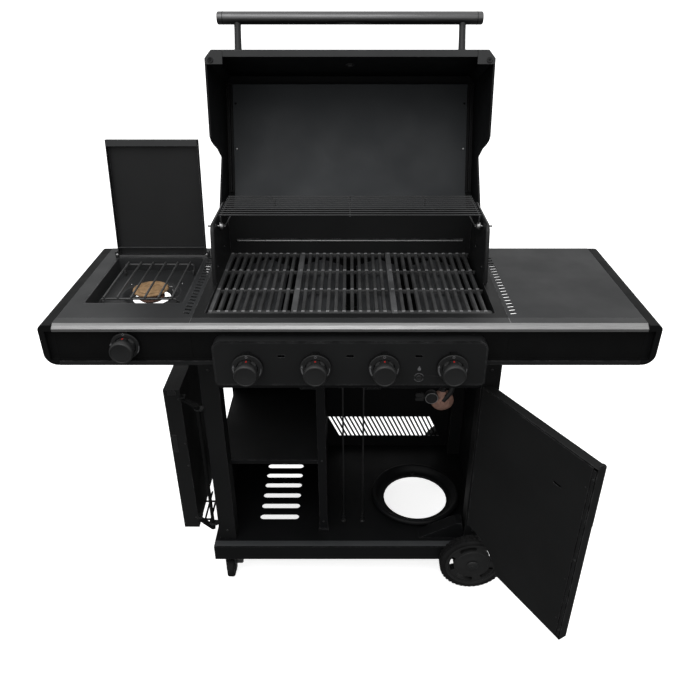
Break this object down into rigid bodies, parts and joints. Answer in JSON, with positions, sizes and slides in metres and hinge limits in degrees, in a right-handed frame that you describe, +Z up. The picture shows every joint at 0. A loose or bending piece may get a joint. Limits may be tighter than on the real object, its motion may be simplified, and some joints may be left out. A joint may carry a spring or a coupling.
{
  "type": "gas barbecue grill",
  "caption": "Free-standing gas barbecue grill on a two-door cart with an open hood, cast grates, side shelves, a lidded side burner, front knobs, transport wheels and casters.",
  "frame": {"origin": "on the floor, under the middle of the whole object with hood, lid and doors open", "axes": "+X to the right seen from the front, +Y to the back, +Z up"},
  "size_m": [1.448, 0.9724, 1.5302],
  "materials": {
    "paint_black": "satin powder coat",
    "paint_satin": "satin powder coat, fine grain",
    "shelf_grey": "satin grey powder coat",
    "trim_steel": "dark brushed steel",
    "handle_steel": "dark polished tube",
    "fascia_plastic": "textured black",
    "panel_plastic": "satin charcoal",
    "knob_plastic": "satin charcoal",
    "cast_iron": "matt enamel",
    "wire_steel": "dark coated wire",
    "bright_steel": "plain steel",
    "brass": "satin",
    "tyre": "matt rubber"
  },
  "bodies": {
    "cart": {"base_tray": "paint_black", "back_panel": "paint_black", "left_side_panel": "paint_black", "right_side_panel": "paint_black", "divider": "paint_black", "cabinet_shelf": "paint_black", "front_rail": "paint_black", "tank_ring": "paint_black", "post_front_left": "paint_satin", "post_front_right": "paint_satin", "post_rear_left": "paint_satin", "post_rear_right": "paint_satin", "rear_rail": "paint_satin", "firebox": "paint_satin", "side_burner_bowl": "paint_satin", "left_shelf": "shelf_grey", "right_shelf": "shelf_grey", "front_trim": "trim_steel", "fascia": "fascia_plastic", "left_end_cap": "fascia_plastic", "right_end_cap": "fascia_plastic", "control_panel": "panel_plastic", "grate_left": "cast_iron", "grate_middle": "cast_iron", "grate_right": "cast_iron", "flame_tamer_1": "cast_iron", "flame_tamer_2": "cast_iron", "flame_tamer_3": "cast_iron", "flame_tamer_4": "cast_iron", "pot_support": "cast_iron", "warming_rack": "wire_steel", "guard_rod_left": "wire_steel", "guard_rod_right": "wire_steel", "wheel_axle": "wire_steel", "burner_1": "bright_steel", "burner_2": "bright_steel", "burner_3": "bright_steel", "burner_4": "bright_steel", "gas_manifold": "bright_steel", "side_burner": "brass", "regulator": "brass"},
    "hood": {"hood": "paint_black", "hood_handle": "handle_steel"},
    "side_burner_lid": {"side_burner_lid": "paint_satin"},
    "right_door": {"right_door": "paint_satin"},
    "left_door_link": {"left_door_link": "wire_steel"},
    "left_door": {"left_door": "paint_satin"},
    "drip_tray": {"drip_tray": "bright_steel"},
    "igniter_button": {"igniter_button": "knob_plastic"},
    "side_burner_knob": {"side_burner_knob": "knob_plastic"},
    "wheel_front": {"wheel_front": "tyre"},
    "wheel_rear": {"wheel_rear": "tyre"},
    "knob_1": {"knob_1": "knob_plastic"},
    "knob_2": {"knob_2": "knob_plastic"},
    "knob_3": {"knob_3": "knob_plastic"},
    "knob_4": {"knob_4": "knob_plastic"},
    "caster_fork_front": {"caster_fork_front": "wire_steel"},
    "caster_wheel_front": {"caster_wheel_front": "tyre"},
    "caster_fork_rear": {"caster_fork_rear": "wire_steel"},
    "caster_wheel_rear": {"caster_wheel_rear": "tyre"}
  },
  "joints": [
    {"name": "hood_hinge", "type": "hinge", "parent": "cart", "child": "hood", "pos_m": [0, 0.234, 1.013], "axis": [1, 0, 0], "range_deg": [0, 100.5]},
    {"name": "side_burner_lid_hinge", "type": "hinge", "parent": "cart", "child": "side_burner_lid", "pos_m": [-0.529, 0.186, 0.926], "axis": [1, 0, 0], "range_deg": [0, 99.5]},
    {"name": "right_door_hinge", "type": "hinge", "parent": "cart", "child": "right_door", "pos_m": [0.37, -0.151, 0.4], "axis": [0, 0, 1], "range_deg": [-120.4, 10]},
    {"name": "left_door_link_hinge", "type": "hinge", "parent": "cart", "child": "left_door_link", "pos_m": [-0.4053, -0.1248, 0.4], "axis": [0, 0, 1], "range_deg": [0, 156.7]},
    {"name": "left_door_hinge", "type": "hinge", "parent": "left_door_link", "child": "left_door", "pos_m": [-0.45194, -0.08805, 0.4], "axis": [0, 0, 1], "range_deg": [0, 113.35]},
    {"name": "drip_tray_slide", "type": "slide", "parent": "cart", "child": "drip_tray", "axis": [0, 1, 0], "range_m": [0, 0.26]},
    {"name": "igniter_press", "type": "slide", "parent": "cart", "child": "igniter_button", "axis": [0, 1, 0], "range_m": [0, 0.003], "stiffness_N_per_m": 600},
    {"name": "knob_1_turn", "type": "hinge", "parent": "cart", "child": "knob_1", "pos_m": [-0.24, -0.257, 0.818], "axis": [0, -1, 0], "range_deg": [0, 270]},
    {"name": "knob_2_turn", "type": "hinge", "parent": "cart", "child": "knob_2", "pos_m": [-0.08, -0.257, 0.818], "axis": [0, -1, 0], "range_deg": [0, 270]},
    {"name": "knob_3_turn", "type": "hinge", "parent": "cart", "child": "knob_3", "pos_m": [0.08, -0.257, 0.818], "axis": [0, -1, 0], "range_deg": [0, 270]},
    {"name": "knob_4_turn", "type": "hinge", "parent": "cart", "child": "knob_4", "pos_m": [0.24, -0.257, 0.818], "axis": [0, -1, 0], "range_deg": [0, 270]},
    {"name": "side_burner_knob_turn", "type": "hinge", "parent": "cart", "child": "side_burner_knob", "pos_m": [-0.528, -0.223, 0.859], "axis": [0, -1, 0], "range_deg": [0, 270]},
    {"name": "wheel_front_spin", "type": "hinge", "parent": "cart", "child": "wheel_front", "pos_m": [0.361, -0.178, 0.096], "axis": [0, 1, 0], "continuous": true},
    {"name": "wheel_rear_spin", "type": "hinge", "parent": "cart", "child": "wheel_rear", "pos_m": [0.361, 0.377, 0.096], "axis": [0, 1, 0], "continuous": true},
    {"name": "caster_front_swivel", "type": "hinge", "parent": "cart", "child": "caster_fork_front", "pos_m": [-0.362, -0.118, 0.08], "axis": [0, 0, 1], "continuous": true},
    {"name": "caster_front_roll", "type": "hinge", "parent": "caster_fork_front", "child": "caster_wheel_front", "pos_m": [-0.362, -0.138, 0.03], "axis": [1, 0, 0], "continuous": true},
    {"name": "caster_rear_swivel", "type": "hinge", "parent": "cart", "child": "caster_fork_rear", "pos_m": [-0.362, 0.324, 0.08], "axis": [0, 0, 1], "continuous": true},
    {"name": "caster_rear_roll", "type": "hinge", "parent": "caster_fork_rear", "child": "caster_wheel_rear", "pos_m": [-0.362, 0.304, 0.03], "axis": [1, 0, 0], "continuous": true}
  ],
  "couplings": [
    {"joint": "left_door_hinge", "follows": "left_door_link_hinge", "ratio": 0.72304}
  ]
}
